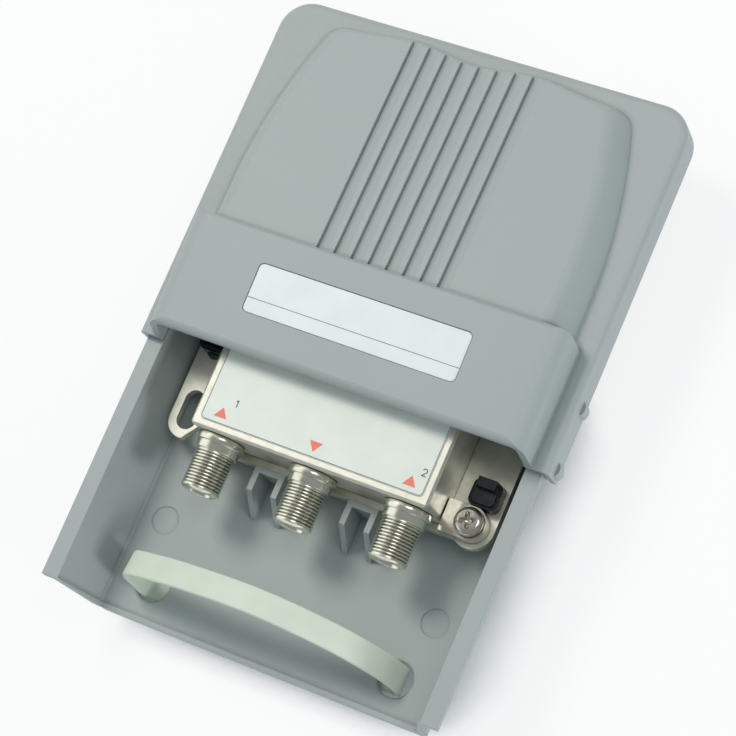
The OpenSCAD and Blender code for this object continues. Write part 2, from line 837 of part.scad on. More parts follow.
module port_body(i) color(nickel) at_port(i) difference() {
    union() {
        translate([0, 0, -spigot_len]) cylinder(d = spigot_d, h = spigot_len + shoulder_len);
        cylinder(d = shoulder_d, h = shoulder_len);
        cylinder(d = (shoulder_d + port_d) / 2, h = thread_start);
        cylinder(d = port_d, h = port_tip - tip_chamfer);
        translate([0, 0, port_tip - tip_chamfer])
            cylinder(d1 = port_d, d2 = port_d - 2 * tip_chamfer, h = tip_chamfer);
    }
    translate([0, 0, -spigot_len - cut]) cylinder(d = port_bore_d, h = port_tip + spigot_len + 2 * cut);
}

module port_insulator(i) color(white) at_port(i) difference() {
    length = spigot_len + port_tip - insulator_recess;
    translate([0, 0, -spigot_len]) cylinder(d = port_bore_d - 2 * fit_gap, h = length);
    translate([0, 0, -spigot_len - cut]) cylinder(d = contact_d + 2 * fit_gap, h = length + 2 * cut);
}

// Spring contact with a socket for the plug's wire and a tail that lies on the board
module port_contact(i) color(tin) at_port(i) {
    front = port_tip - contact_recess;
    difference() {
        translate([0, 0, -spigot_len]) cylinder(d = contact_d, h = spigot_len + front);
        translate([0, 0, front - socket_len]) cylinder(d = socket_d, h = socket_len + cut);
    }
    translate([0, 0, -tail_end]) cylinder(d = tail_d, h = tail_end - spigot_len + fit_gap);
}

// Inside of the box

module circuit_board() color(board_green) in_module() difference() {
    translate([-board_half, board_front, board_top - board_t])
        cube([2 * board_half, board_rear - board_front, board_t]);
    board_screw_places() translate([0, 0, -board_t - cut]) cylinder(d = clear_d, h = board_t + 2 * cut);
}

// Puts children on the board's upper face, x from its middle and y from its front edge
module on_board(x, y) {
    in_module() translate([x, board_front + y, board_top]) children();
}

// Chip body just above the board, with a row of legs on each long side
module control_chip() color(black) on_board(0, chip_y) {
    translate([-chip[0] / 2, -chip[1] / 2, leg[2] / 3]) cube(chip);
    for (i = [0 : chip_legs - 1], side = [-1, 1])
        translate([(i - (chip_legs - 1) / 2) * leg_pitch, side * (chip[1] + leg[1]) / 2, leg[2] / 2])
            cube(leg + [0, 2 * fit_gap, 0], center = true);
}

module switch_diodes() color(black)
    for (side = [-1, 1], i = [0, 1])
        on_board(side * (diode_x + diode_pitch * i), diode_y)
            translate([-diode[0] / 2, -diode[1] / 2, 0]) cube(diode);

module supply_chokes() color(black) for (i = [-1 : 1]) on_board(i * port_pitch, choke_y) {
    cylinder(d = choke_d, h = choke_disc);
    cylinder(d = choke_core_d, h = choke_h);
    translate([0, 0, choke_h - choke_disc]) cylinder(d = choke_d, h = choke_disc);
}

module chip_capacitors() color(ceramic) for (i = [-2 : 2])
    on_board(i * capacitor_pitch, capacitor_y)
        translate([-capacitor[0] / 2, -capacitor[1] / 2, 0]) cube(capacitor);

// Round body with one flat side
module voltage_regulator() color(black) on_board(regulator_x, regulator_y) intersection() {
    cylinder(d = regulator_d, h = regulator_h);
    translate([-regulator_d / 2, -regulator_flat, 0]) cube([regulator_d, regulator_d, regulator_h]);
}

// Sheet fence round the middle port: two side walls and a rear wall
module shield_fence() color(tin) {
    h = inner_top - board_top - seat_gap;
    depth = board_rear - board_front - 2 * fence_inset;
    for (side = [-1, 1])
        on_board(side * port_pitch / 2, fence_inset)
            translate([-fence_t / 2, 0, 0]) cube([fence_t, depth, h]);
    on_board(-port_pitch / 2, fence_inset + depth - fence_t) cube([port_pitch, fence_t, h]);
}

// Screws from above that hold the board on its posts
module board_screws() color(tin) in_module() board_screw_places() {
    cylinder(d = board_screw_d, h = board_screw_h);
    translate([0, 0, -board_screw_len]) cylinder(d = shank_d, h = board_screw_len);
}

// Screws from below that hold the pan to the box
module plate_screws() color(tin) in_module() plate_screw_places() translate([0, 0, -pan_h]) {
    translate([0, 0, -plate_screw_h]) cylinder(d = plate_screw_d, h = plate_screw_h);
    cylinder(d = shank_d, h = pan_h + plate_screw_grip);
}

// Earth terminal

module at_terminal(z) {
    in_module() translate([term_x, term_y, z]) children();
}

module earth_clamp() color(nickel) at_terminal(plate_z + pad_h) difference() {
    linear_extrude(clamp_t) terminal_outline();
    translate([0, 0, -cut]) cylinder(d = screw_d + 2 * fit_gap, h = clamp_t + 2 * cut);
}

// Pan-head screw with a cross recess
module earth_screw() color(nickel) at_terminal(plate_z + pad_h + clamp_t) difference() {
    union() {
        translate([0, 0, -screw_len]) cylinder(d = screw_d, h = screw_len);
        cylinder(d = screw_head_d, h = head_rim);
        translate([0, 0, head_rim])
            cylinder(d1 = screw_head_d, d2 = screw_head_d - 2 * head_slope, h = screw_head_h - head_rim);
    }
    for (turn = [0, 90])
        rotate([0, 0, turn + recess_turn])
            translate([-recess_len / 2, -recess_w / 2, screw_head_h - recess_depth])
                cube([recess_len, recess_w, recess_depth + cut]);
}

// Fixing pegs: a shank in the tray's boss, a neck through the slot and a stepped head with a tab
module fixing_peg(x, y) color(black) in_module() translate([x, y, plate_z]) {
    top = peg_head_h + peg_step_h;
    in = 2 * peg_step;
    translate([0, 0, -ear_rise - ear_t]) cylinder(d = peg_d - 2 * fit_gap, h = ear_rise + ear_t);
    translate([0, 0, -ear_t]) cylinder(d = peg_neck_d, h = ear_t);
    linear_extrude(peg_head_h) round_rect(peg_head_w, peg_head_d, peg_head_r);
    linear_extrude(top) round_rect(peg_head_w - in, peg_head_d - in, peg_head_r - peg_step);
    translate([-peg_tab_w / 2, peg_tab_y, 0]) cube([peg_tab_w, peg_tab_d, top + peg_tab_h]);
}

// Cable tie: one strap out of the left hole, over and down the right hole, closed in its head behind
// Middle line of the arch from left to right, in shares of the hole spacing and of the arch's height
tie_arch = [[-0.04, 0.22], [-0.055, 0.42], [-0.03, 0.61], [0.05, 0.73], [0.22, 0.9], [0.515, 1],
            [0.79, 0.77], [0.955, 0.42], [1.02, 0.14]];
tie_lean = 10;
tie_bend = 2.6;
// How far outside the middle of its hole each leg stands
tie_leg = 1.8;
tie_head_len = 8;
tie_head_w = 8.4;
tie_head_h = 5.4;
tie_head_x = 6;

// Point on a smooth curve through four points
function smooth(a, b, c, d, t) =
    b + 0.5 * t * (c - a + t * (2 * a - 5 * b + 4 * c - d + t * (3 * (b - c) + d - a)));

function at_index(points, i) = points[min(max(i, 0), len(points) - 1)];

// Smooth curve through all points, with steps between neighbours
function curve(points, steps) =
    [for (i = [0 : len(points) - 2], s = [0 : steps - 1])
        smooth(at_index(points, i - 1), points[i], points[i + 1], at_index(points, i + 2), s / steps),
     points[len(points) - 1]];

// Unit normal of a line of points at one of them
function normal(points, i) =
    let (d = at_index(points, i + 1) - at_index(points, i - 1)) [-d[1], d[0]] / norm(d);

// Band of even thickness along a line of points
function band(points, t) =
    concat([for (i = [0 : len(points) - 1]) points[i] + normal(points, i) * t / 2],
           [for (i = [len(points) - 1 : -1 : 0]) points[i] - normal(points, i) * t / 2]);

// Strap drawn in its own plane, x from the left hole and height from the tray's floor
module tie_strap(line) {
    translate([0, -tie_w / 2, 0]) along_y(tie_w) polygon(band(line, tie_t));
}

module cable_tie() color(nylon) translate([-tie_spacing / 2, front_y + tie_setback, floor_z]) {
    under = -floor_t - seat_gap - tie_t / 2;
    right_leg = tie_spacing + tie_leg;
    left_bend = arc([tie_bend - tie_leg, under + tie_bend], tie_bend, -90, -180);
    right_bend = arc([right_leg - tie_bend, under + tie_bend], tie_bend, 0, -90);
    arch = [for (p = tie_arch) [p[0] * tie_spacing, p[1] * tie_rise]];
    rotate([-tie_lean, 0, 0]) tie_strap(curve(concat([[-tie_leg, 0]], arch, [[right_leg, 0]]), 5));
    tie_strap(concat([[tie_head_x + cut, under]], left_bend, [[-tie_leg, cut]]));
    tie_strap(concat([[right_leg, cut]], right_bend, [[tie_head_x + tie_head_len - cut, under]]));
    translate([tie_head_x, -tie_head_w / 2, under + tie_t / 2 - tie_head_h])
        cube([tie_head_len, tie_head_w, tie_head_h]);
}

base_tray();
weather_cover();
cover_label();
switch_housing();
switch_plate();
switch_label();
port_body(-1);  // port_body_left
port_body(0);  // port_body_centre
port_body(1);  // port_body_right
port_insulator(-1);  // port_insulator_left
port_insulator(0);  // port_insulator_centre
port_insulator(1);  // port_insulator_right
port_contact(-1);  // port_contact_left
port_contact(0);  // port_contact_centre
port_contact(1);  // port_contact_right
circuit_board();
control_chip();
switch_diodes();
supply_chokes();
chip_capacitors();
voltage_regulator();
shield_fence();
board_screws();
plate_screws();
earth_clamp();
earth_screw();
fixing_peg(slot_x, peg_right_y);  // fixing_peg_right
fixing_peg(-slot_x, peg_left_y);  // fixing_peg_left
cable_tie();
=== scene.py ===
import json
import math

import bmesh
import bpy
from mathutils import Matrix, Vector


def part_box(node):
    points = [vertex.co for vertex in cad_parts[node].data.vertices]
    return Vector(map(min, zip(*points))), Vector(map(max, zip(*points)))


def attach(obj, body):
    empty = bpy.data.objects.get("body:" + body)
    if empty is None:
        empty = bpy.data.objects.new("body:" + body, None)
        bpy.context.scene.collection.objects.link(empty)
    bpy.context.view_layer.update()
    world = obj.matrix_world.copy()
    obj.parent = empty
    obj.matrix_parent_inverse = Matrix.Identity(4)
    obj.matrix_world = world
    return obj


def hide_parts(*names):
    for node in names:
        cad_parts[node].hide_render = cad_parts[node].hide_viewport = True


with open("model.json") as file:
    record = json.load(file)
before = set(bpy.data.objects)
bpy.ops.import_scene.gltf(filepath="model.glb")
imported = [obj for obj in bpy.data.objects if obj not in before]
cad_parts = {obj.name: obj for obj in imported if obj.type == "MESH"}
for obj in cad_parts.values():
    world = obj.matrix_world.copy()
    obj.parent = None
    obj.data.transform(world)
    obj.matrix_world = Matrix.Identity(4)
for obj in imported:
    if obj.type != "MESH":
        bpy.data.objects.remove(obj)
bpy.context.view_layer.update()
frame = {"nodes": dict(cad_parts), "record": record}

MM = 0.001
NODE_SLOT = {part["node"]: part["material_slot"] for part in frame["record"]["subparts"]}
MOUNTS = {mount["name"]: mount for mount in frame["record"]["mounts"]}

# Camera at the photograph's viewing angle, in metres, for a square image
CAMERA_PLACE = Vector((0.2336, -0.1221, 0.5970))
CAMERA_AIM = Vector((0.0004, -0.0030, 0.0200))
CAMERA_UP = Vector((-0.3041, 0.9011, 0.3090))
CAMERA_LENS = 132.2
SENSOR_WIDTH = 36.0

# Light: a soft even level for matt surfaces, and for mirrors a dark studio with a white wall on the left
AMBIENT_LEVEL = 0.41
AMBIENT_TINT = (0.81, 0.945, 1.04, 1.0)
STUDIO_LEVEL = 0.26
WALL_FULL_X = -0.62
WALL_END_X = -0.44
WARM_WHITE = (1.0, 0.97, 0.92)
NEAR_WHITE = (1.0, 0.99, 0.97)
COOL_WHITE = (0.93, 0.975, 1.0)
KEY_PLACE = (-0.42, 0.28, 0.83)
KEY_SIZE = (0.30, 0.30)

# Floor: it shines white by the background share, and less where what is near covers its sky
BACKGROUND_SHARE = 0.82
FLOOR_REACH = 4.0
FLOOR_GAP = 25 * MM
FLOOR_CLOSED = 0.46
FLOOR_OPEN = 0.58

# Shading: edges that turn by more than this stay crisp
CRISP_ANGLE = math.radians(50)

# Port bodies: two shoulders, a coaxial thread of 32 turns to the inch and a chamfered tip
SPIGOT_LENGTH = 3.8 * MM
SPIGOT_STEP = 0.55 * MM
SHOULDER_LENGTH = 1.95 * MM
BORE_RADIUS = 3.6 * MM
TIP_CHAMFER = 0.7 * MM
TURNED_EDGE = 0.22 * MM
THREAD_PITCH = 0.794 * MM
THREAD_DEPTH = 0.44 * MM
THREAD_CREST = 0.34
THREAD_STEPS = 14
PORT_SEGMENTS = 96

# Earth screw: a domed pan head with a cross recess on a threaded shank
SCREW_HEAD_HEIGHT = 2.4 * MM
SCREW_HEAD_RIM = 1.1 * MM
SCREW_TOP_RADIUS = 2.2 * MM
SCREW_CROWN = 0.06 * MM
SCREW_SHANK_RADIUS = 1.75 * MM
SCREW_PITCH = 0.6 * MM
SCREW_THREAD_DEPTH = 0.3 * MM
SCREW_SEGMENTS = 144
SCREW_THREAD_STEPS = 10
SCREW_DOME_STEPS = 10
SCREW_TOP_STEPS = 26
RECESS_REACH = 2.1 * MM
RECESS_DEPTH = 1.6 * MM
RECESS_HALF_WIDTH = 0.62 * MM
RECESS_TAPER = 0.08
RECESS_SLOPE = 0.22 * MM
RECESS_TURN = math.radians(20)

# Cable tie on the solid's route; its arch is in shares of the hole spacing and of the tie's rise
TIE_SPACING = 65.4 * MM
TIE_RISE = 18 * MM
TIE_LEAN = math.radians(10)
TIE_WIDTH = 6.5 * MM
TIE_THICK = 1.3 * MM
TIE_EDGE = 0.4 * MM
TIE_BEND = 2.6 * MM
TIE_LEG = 1.8 * MM
TIE_HOLE_Y = -67.5 * MM
TIE_FLOOR_Z = 9 * MM
TIE_UNDER = -2.3 * MM - TIE_THICK / 2
TIE_HEAD_X = 6 * MM
TIE_HEAD_LENGTH = 8 * MM
TIE_HEAD_WIDTH = 8.4 * MM
TIE_HEAD_HEIGHT = 5.4 * MM
TIE_HEAD_SOFT = 0.5 * MM
TIE_HEAD_WINDOW = 0.55
TIE_END_INSET = 1 * MM
TIE_BEND_STEPS = 6
TIE_ARCH_STEPS = 8
TIE_ARCH = [(-0.04, 0.22), (-0.055, 0.42), (-0.03, 0.61), (0.05, 0.73), (0.22, 0.9), (0.515, 1),
            (0.79, 0.77), (0.955, 0.42), (1.02, 0.14)]

# Printing: ink films on the labels; a digit's place is counted from the middle of its arrow's base
INK_SUNK = 0.01 * MM
INK_HEIGHT = 0.03 * MM
LABEL_RADIUS = 1.2 * MM
BORDER_INSET = 0.1 * MM
BORDER_WIDTH = 0.15 * MM
ARROW_BASE = 3.4 * MM
ARROW_HEIGHT = 2.5 * MM
ARROW_MARGIN = 1.5 * MM
ARROW_STEP = 2.3 * MM
ARROW_SHIFT = 0.4 * MM
DIGIT_STROKE = 0.26 * MM
DIGIT_HEIGHT = 1.7 * MM
ONE_PLACE = Vector((2.8, 3.5)) * MM
TWO_PLACE = Vector((1.9, 3.2)) * MM
DIGIT_BOW_STEPS = 12
DIVIDER_SHARE = -0.21


# Nodes and materials

def add_node(tree, kind, values=None, **settings):
    """A new shader node; values are numbers, colours or sockets to link, by input name or index."""
    node = tree.nodes.new(kind)
    for setting, value in settings.items():
        setattr(node, setting, value)
    for key, value in (values or {}).items():
        if isinstance(value, bpy.types.NodeSocket):
            tree.links.new(value, node.inputs[key])
        else:
            node.inputs[key].default_value = value
    return node


def new_material(name):
    material = bpy.data.materials.new(name)
    material.use_nodes = True
    return material, material.node_tree, material.node_tree.nodes["Principled BSDF"]


def noise(tree, size, detail=3.0, stretch=(1, 1, 1)):
    """Noise fixed to the object, its features about size metres across."""
    place = add_node(tree, "ShaderNodeTexCoord").outputs["Object"]
    mapped = add_node(tree, "ShaderNodeMapping", {"Vector": place, "Scale": stretch})
    texture = add_node(tree, "ShaderNodeTexNoise",
                       {"Vector": mapped.outputs["Vector"], "Scale": 1 / size, "Detail": detail})
    return texture.outputs["Fac"]


def spread(tree, value, low, high, start=0.35, end=0.65):
    """A number that runs from low to high while value runs from start to end."""
    ranged = add_node(tree, "ShaderNodeMapRange",
                      {"Value": value, "From Min": start, "From Max": end, "To Min": low, "To Max": high})
    return ranged.outputs["Result"]


def blend_colours(tree, share, first, second):
    """The first colour where share is 0 and the second where it is 1."""
    mix = add_node(tree, "ShaderNodeMix", {0: share, 6: first, 7: second}, data_type="RGBA")
    return mix.outputs[2]


def rounded_normal(tree, radius):
    return add_node(tree, "ShaderNodeBevel", {"Radius": radius}, samples=6).outputs["Normal"]


def edge_share(tree, radius):
    """1 along edges and 0 on faces, from how far the rounded normal turns away from the face."""
    face = add_node(tree, "ShaderNodeNewGeometry").outputs["Normal"]
    turn = add_node(tree, "ShaderNodeVectorMath", {0: rounded_normal(tree, radius), 1: face},
                    operation="DOT_PRODUCT").outputs["Value"]
    return spread(tree, turn, 1.0, 0.0, 0.75, 0.98)


def open_share(tree, reach):
    """1 on open faces, and less where something within reach covers part of the view outwards."""
    return add_node(tree, "ShaderNodeAmbientOcclusion", {"Distance": reach}, samples=8).outputs["AO"]


def painted_crevice_shade(tree, reach, most, closed=0.40, clear=0.90):
    """Up to most in grooves and inner corners, where it paints shade, and 0 on open faces."""
    return spread(tree, open_share(tree, reach), most, 0.0, closed, clear)


def surface_normal(tree, height, depth, radius):
    """Normal with rounded edges and a relief of the given depth."""
    bump = add_node(tree, "ShaderNodeBump",
                    {"Height": height, "Distance": depth, "Normal": rounded_normal(tree, radius)})
    return bump.outputs["Normal"]


def rgba(red, green, blue):
    return (red, green, blue, 1.0)


def housing_plastic():
    """Grey moulded plastic: fine mould grain, faint flow marks, paler edges that are partly rubbed wear and
    partly a painted highlight, and painted shade in grooves and inner corners.
    """
    material, tree, shader = new_material("housing_plastic")
    flow = noise(tree, 30 * MM, 4, (1.0, 0.35, 1.0))
    grain = noise(tree, 0.35 * MM, 2)
    body = blend_colours(tree, spread(tree, flow, 0, 1),
                         rgba(0.378, 0.412, 0.396), rgba(0.388, 0.422, 0.406))
    # Paler edges: partly rubbed wear, partly a painted highlight
    worn_and_highlit = blend_colours(tree, edge_share(tree, 0.25 * MM), body, rgba(0.41, 0.45, 0.435))
    # Painted shade: darker in grooves and inner corners, where shade falls
    corner_shade_mask = painted_crevice_shade(tree, 1.3 * MM, 0.30, closed=0.92, clear=0.985)
    with_corner_shade = blend_colours(tree, corner_shade_mask, worn_and_highlit, rgba(0.16, 0.195, 0.195))
    tree.links.new(with_corner_shade, shader.inputs["Base Color"])
    tree.links.new(spread(tree, noise(tree, 1.5 * MM, 3), 0.45, 0.50), shader.inputs["Roughness"])
    tree.links.new(surface_normal(tree, grain, 0.012 * MM, 0.18 * MM), shader.inputs["Normal"])
    return material


def plated_metal(name, dark, bright, rough, grain_size, grain_depth, edge,
                 stretch=(1, 1, 1), metallic=1.0, crevice_shade_most=0.8):
    """Plated metal: cloudy tone, uneven polish between two roughness values, fine grain, and painted shade
    darkening its crevices.
    """
    material, tree, shader = new_material(name)
    cloud = noise(tree, 3 * MM, 4)
    body = blend_colours(tree, spread(tree, cloud, 0, 1), dark, bright)
    # Painted shade: darker in thread roots, recesses and inner corners
    crevice_shaded = blend_colours(tree, painted_crevice_shade(tree, 0.5 * MM, crevice_shade_most), body, rgba(0.12, 0.11, 0.09))
    tree.links.new(crevice_shaded, shader.inputs["Base Color"])
    tree.links.new(spread(tree, noise(tree, 0.9 * MM, 3), *rough), shader.inputs["Roughness"])
    grain = noise(tree, grain_size, 2, stretch)
    tree.links.new(surface_normal(tree, grain, grain_depth, edge), shader.inputs["Normal"])
    shader.inputs["Metallic"].default_value = metallic
    return material


def printed_foil(name, dark, bright):
    """White-silver label film with a faint brushed grain."""
    material, tree, shader = new_material(name)
    brush = noise(tree, 0.25 * MM, 2, (0.06, 1.0, 1.0))
    cloud = noise(tree, 9 * MM, 3)
    body = blend_colours(tree, spread(tree, cloud, 0, 1), dark, bright)
    tree.links.new(body, shader.inputs["Base Color"])
    tree.links.new(spread(tree, brush, 0.34, 0.46), shader.inputs["Roughness"])
    tree.links.new(surface_normal(tree, brush, 0.004 * MM, 0.05 * MM), shader.inputs["Normal"])
    return material


def plain_plastic(name, dark, bright, rough, edge, gloss=0.5):
    """Moulded plastic of one colour with cloudy tone, uneven gloss, a fine grain and paler edges, partly
    rubbed wear and partly a painted highlight.
    """
    material, tree, shader = new_material(name)
    cloud = noise(tree, 2.5 * MM, 4)
    body = blend_colours(tree, spread(tree, cloud, 0, 1), dark, bright)
    # Paler edges: partly rubbed wear, partly a painted highlight
    worn_and_highlit = blend_colours(tree, edge_share(tree, 0.3 * MM), body, edge)
    tree.links.new(worn_and_highlit, shader.inputs["Base Color"])
    tree.links.new(spread(tree, noise(tree, 1.2 * MM, 3), *rough), shader.inputs["Roughness"])
    grain = noise(tree, 0.25 * MM, 2)
    tree.links.new(surface_normal(tree, grain, 0.012 * MM, 0.3 * MM), shader.inputs["Normal"])
    shader.inputs["Specular IOR Level"].default_value = gloss
    return material


def tie_nylon():
    """Natural nylon: milky, slightly green, light soaking through it."""
    material, tree, shader = new_material("tie_nylon")
    cloud = noise(tree, 6 * MM, 3)
    streak = noise(tree, 0.5 * MM, 2, (0.3, 1, 1))
    body = blend_colours(tree, spread(tree, cloud, 0, 1),
                         rgba(0.665, 0.715, 0.61), rgba(0.695, 0.745, 0.64))
    tree.links.new(body, shader.inputs["Base Color"])
    tree.links.new(spread(tree, noise(tree, 2 * MM, 3), 0.42, 0.50), shader.inputs["Roughness"])
    tree.links.new(surface_normal(tree, streak, 0.01 * MM, 0.1 * MM), shader.inputs["Normal"])
    shader.inputs["Subsurface Weight"].default_value = 0.6
    shader.inputs["Subsurface Radius"].default_value = (1.0, 0.95, 0.7)
    shader.inputs["Subsurface Scale"].default_value = 1.5 * MM
    return material


def board_laminate():
    """Green board with the weave of its glass cloth showing through the varnish."""
    material, tree, shader = new_material("board_laminate")
    weave = noise(tree, 0.5 * MM, 2, (1.0, 0.2, 1.0))
    body = blend_colours(tree, spread(tree, weave, 0, 1), rgba(0.02, 0.13, 0.05), rgba(0.04, 0.20, 0.08))
    tree.links.new(body, shader.inputs["Base Color"])
    tree.links.new(spread(tree, noise(tree, 3 * MM), 0.25, 0.4), shader.inputs["Roughness"])
    tree.links.new(surface_normal(tree, weave, 0.01 * MM, 0.1 * MM), shader.inputs["Normal"])
    return material


def ink(name, thin, full):
    """Printed ink, a little uneven."""
    material, tree, shader = new_material(name)
    body = blend_colours(tree, spread(tree, noise(tree, 0.4 * MM, 4), 0, 1), thin, full)
    tree.links.new(body, shader.inputs["Base Color"])
    tree.links.new(spread(tree, noise(tree, 0.2 * MM, 2), 0.40, 0.55), shader.inputs["Roughness"])
    return material


SLOT_MATERIALS = {
    "housing_plastic": housing_plastic(),
    "label_foil": printed_foil("label_foil", rgba(0.74, 0.775, 0.70), rgba(0.78, 0.81, 0.74)),
    "nickel_casting": plated_metal("nickel_casting", rgba(0.71, 0.71, 0.62), rgba(0.80, 0.80, 0.71),
                                   (0.36, 0.46), grain_size=0.4 * MM, grain_depth=0.008 * MM,
                                   edge=0.15 * MM, metallic=0.9),
    # Turned nickel of the screw and clamp, kept darker than the ports' copy as painted shade
    "nickel_turned": plated_metal("nickel_turned", rgba(0.66, 0.635, 0.565), rgba(0.76, 0.735, 0.665),
                                  (0.13, 0.22), grain_size=0.2 * MM, grain_depth=0.003 * MM,
                                  edge=0.04 * MM),
    "insulator_plastic": plain_plastic("insulator_plastic", rgba(0.74, 0.74, 0.70), rgba(0.82, 0.82, 0.78),
                                       (0.35, 0.5), rgba(0.86, 0.86, 0.83)),
    "contact_bronze": plated_metal("contact_bronze", rgba(0.60, 0.52, 0.38), rgba(0.72, 0.64, 0.48),
                                   (0.2, 0.35), grain_size=0.2 * MM, grain_depth=0.004 * MM,
                                   edge=0.05 * MM),
    "board_laminate": board_laminate(),
    "component_black": plain_plastic("component_black", rgba(0.012, 0.012, 0.013), rgba(0.02, 0.02, 0.021),
                                     (0.45, 0.6), rgba(0.04, 0.04, 0.04)),
    "capacitor_ceramic": plain_plastic("capacitor_ceramic", rgba(0.34, 0.24, 0.15), rgba(0.42, 0.31, 0.20),
                                       (0.35, 0.5), rgba(0.5, 0.4, 0.3)),
    "tinned_steel": plated_metal("tinned_steel", rgba(0.56, 0.56, 0.54), rgba(0.68, 0.68, 0.66),
                                 (0.3, 0.45), grain_size=0.25 * MM, grain_depth=0.006 * MM,
                                 edge=0.1 * MM, stretch=(0.2, 1, 1)),
    "peg_plastic": plain_plastic("peg_plastic", rgba(0.004, 0.007, 0.011), rgba(0.007, 0.011, 0.016),
                                 (0.22, 0.32), rgba(0.016, 0.022, 0.028), gloss=0.3),
    "tie_nylon": tie_nylon(),
}
# Lit copy of the turned nickel: the ports get this paler tone as painted light
PORT_NICKEL_LIT = plated_metal("port_nickel_lit", rgba(0.83, 0.84, 0.72), rgba(0.91, 0.92, 0.80),
                           (0.18, 0.27), grain_size=0.2 * MM, grain_depth=0.003 * MM,
                           edge=0.04 * MM, crevice_shade_most=0.55)
COVER_FOIL = printed_foil("cover_foil", rgba(0.76, 0.81, 0.79), rgba(0.80, 0.845, 0.83))
DARK_INK = ink("dark_ink", rgba(0.15, 0.16, 0.16), rgba(0.09, 0.095, 0.10))
RED_INK = ink("red_ink", rgba(0.84, 0.23, 0.17), rgba(0.88, 0.19, 0.13))


def dress_cad_nodes():
    for name, node in frame["nodes"].items():
        for place in node.material_slots:
            place.material = COVER_FOIL if name == "cover_label" else SLOT_MATERIALS[NODE_SLOT[name]]


# Meshes

def new_piece(name, build, material, body, replaced=()):
    """A piece whose mesh is filled by build, riding on a body and standing for CAD nodes."""
    mesh = bpy.data.meshes.new(name)
    shape = bmesh.new()
    build(shape)
    bmesh.ops.recalc_face_normals(shape, faces=shape.faces)
    shape.to_mesh(mesh)
    shape.free()
    mesh.materials.append(material)
    piece = bpy.data.objects.new(name, mesh)
    bpy.context.scene.collection.objects.link(piece)
    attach(piece, body)
    if replaced:
        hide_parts(*replaced)
    return piece


def smooth(piece):
    """Shades the piece smooth, with its sharp edges left crisp."""
    mesh = piece.data
    mesh.shade_smooth()
    mesh.set_sharp_from_angle(angle=CRISP_ANGLE)


def join_rings(shape, rings, closed=False, capped=False):
    """Faces between neighbouring rings; closed joins the last to the first, capped fills both ends."""
    made = [[shape.verts.new(point) for point in ring] for ring in rings]
    pairs = list(zip(made, made[1:]))
    if closed:
        pairs.append((made[-1], made[0]))
    for first, second in pairs:
        for i in range(len(first)):
            j = (i + 1) % len(first)
            shape.faces.new((first[i], first[j], second[j], second[i]))
    if capped:
        shape.faces.new(made[0])
        shape.faces.new(made[-1])


def round_rectangle(width, height, radius, steps=5):
    """Outline of a rectangle about the origin with round corners."""
    points = []
    for quarter, (side_x, side_y) in enumerate(((1, 1), (-1, 1), (-1, -1), (1, -1))):
        centre = Vector((side_x * (width / 2 - radius), side_y * (height / 2 - radius)))
        for i in range(steps + 1):
            angle = math.radians(90 * (quarter + i / steps))
            points.append(centre + radius * Vector((math.cos(angle), math.sin(angle))))
    return points


def thread_groove(along, angle, pitch, crest):
    """Share of the thread's depth at a place: 0 on the crest and 1 at the bottom of the V."""
    turn = (along / pitch - angle / math.tau) % 1.0
    return max(0.0, 1.0 - abs(2 * turn - 1) / (1 - crest))


# Ports

def port_rings(node):
    """Rings of a port body: outside from its spigot to its tip, then back through its bore."""
    low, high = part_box(node)
    middle = (low + high) / 2
    face_y = high.y - SPIGOT_LENGTH
    tip = face_y - low.y
    shoulder_r = (high.x - low.x) / 2
    thread_r = MOUNTS["port_left"]["dims"]["r_mm"] * MM
    second_r = (shoulder_r + thread_r) / 2
    spigot_r = thread_r - SPIGOT_STEP
    soft = TURNED_EDGE
    step = SHOULDER_LENGTH
    start = 2 * step
    end = tip - TIP_CHAMFER
    outline = [(spigot_r, -SPIGOT_LENGTH), (spigot_r, 0.0), (shoulder_r - soft, 0.0), (shoulder_r, soft),
               (shoulder_r, step - soft), (shoulder_r - soft, step), (second_r + soft / 2, step),
               (second_r, step + soft / 2), (second_r, start - soft), (second_r - soft, start)]
    count = THREAD_STEPS * round((end - start) / THREAD_PITCH)
    outline += [(thread_r, start + (end - start) * i / count) for i in range(count + 1)]
    outline += [(thread_r - TIP_CHAMFER, tip), (BORE_RADIUS + soft, tip), (BORE_RADIUS, tip - soft),
                (BORE_RADIUS, -SPIGOT_LENGTH)]
    rings = []
    for radius, along in outline:
        run_out = min(1.0, max(0.0, min(along - start, end - along) / THREAD_PITCH))
        ring = []
        for i in range(PORT_SEGMENTS):
            angle = math.tau * i / PORT_SEGMENTS
            r = radius
            if radius == thread_r:
                r -= THREAD_DEPTH * run_out * thread_groove(along, angle, THREAD_PITCH, THREAD_CREST)
            ring.append((middle.x + r * math.cos(angle), face_y - along, middle.z + r * math.sin(angle)))
        rings.append(ring)
    return rings


def add_ports():
    for side in ("left", "centre", "right"):
        node = "port_body_" + side
        piece = new_piece("threaded_port_" + side, lambda shape: join_rings(shape, port_rings(node), True),
                          PORT_NICKEL_LIT, "tray", [node])
        smooth(piece)


# Earth screw

def recess_depth(radius, angle):
    """Depth of the cross recess below the head's top: four wings that run out towards the rim."""
    if radius >= RECESS_REACH:
        return 0.0
    wing = (angle - RECESS_TURN + math.pi / 4) % (math.pi / 2) - math.pi / 4
    aside = abs(radius * math.sin(wing))
    share = (RECESS_HALF_WIDTH - RECESS_TAPER * radius - aside) / RECESS_SLOPE + 0.5
    share = min(1.0, max(0.0, share))
    return RECESS_DEPTH * (1 - (radius / RECESS_REACH) ** 2) * share * share * (3 - 2 * share)


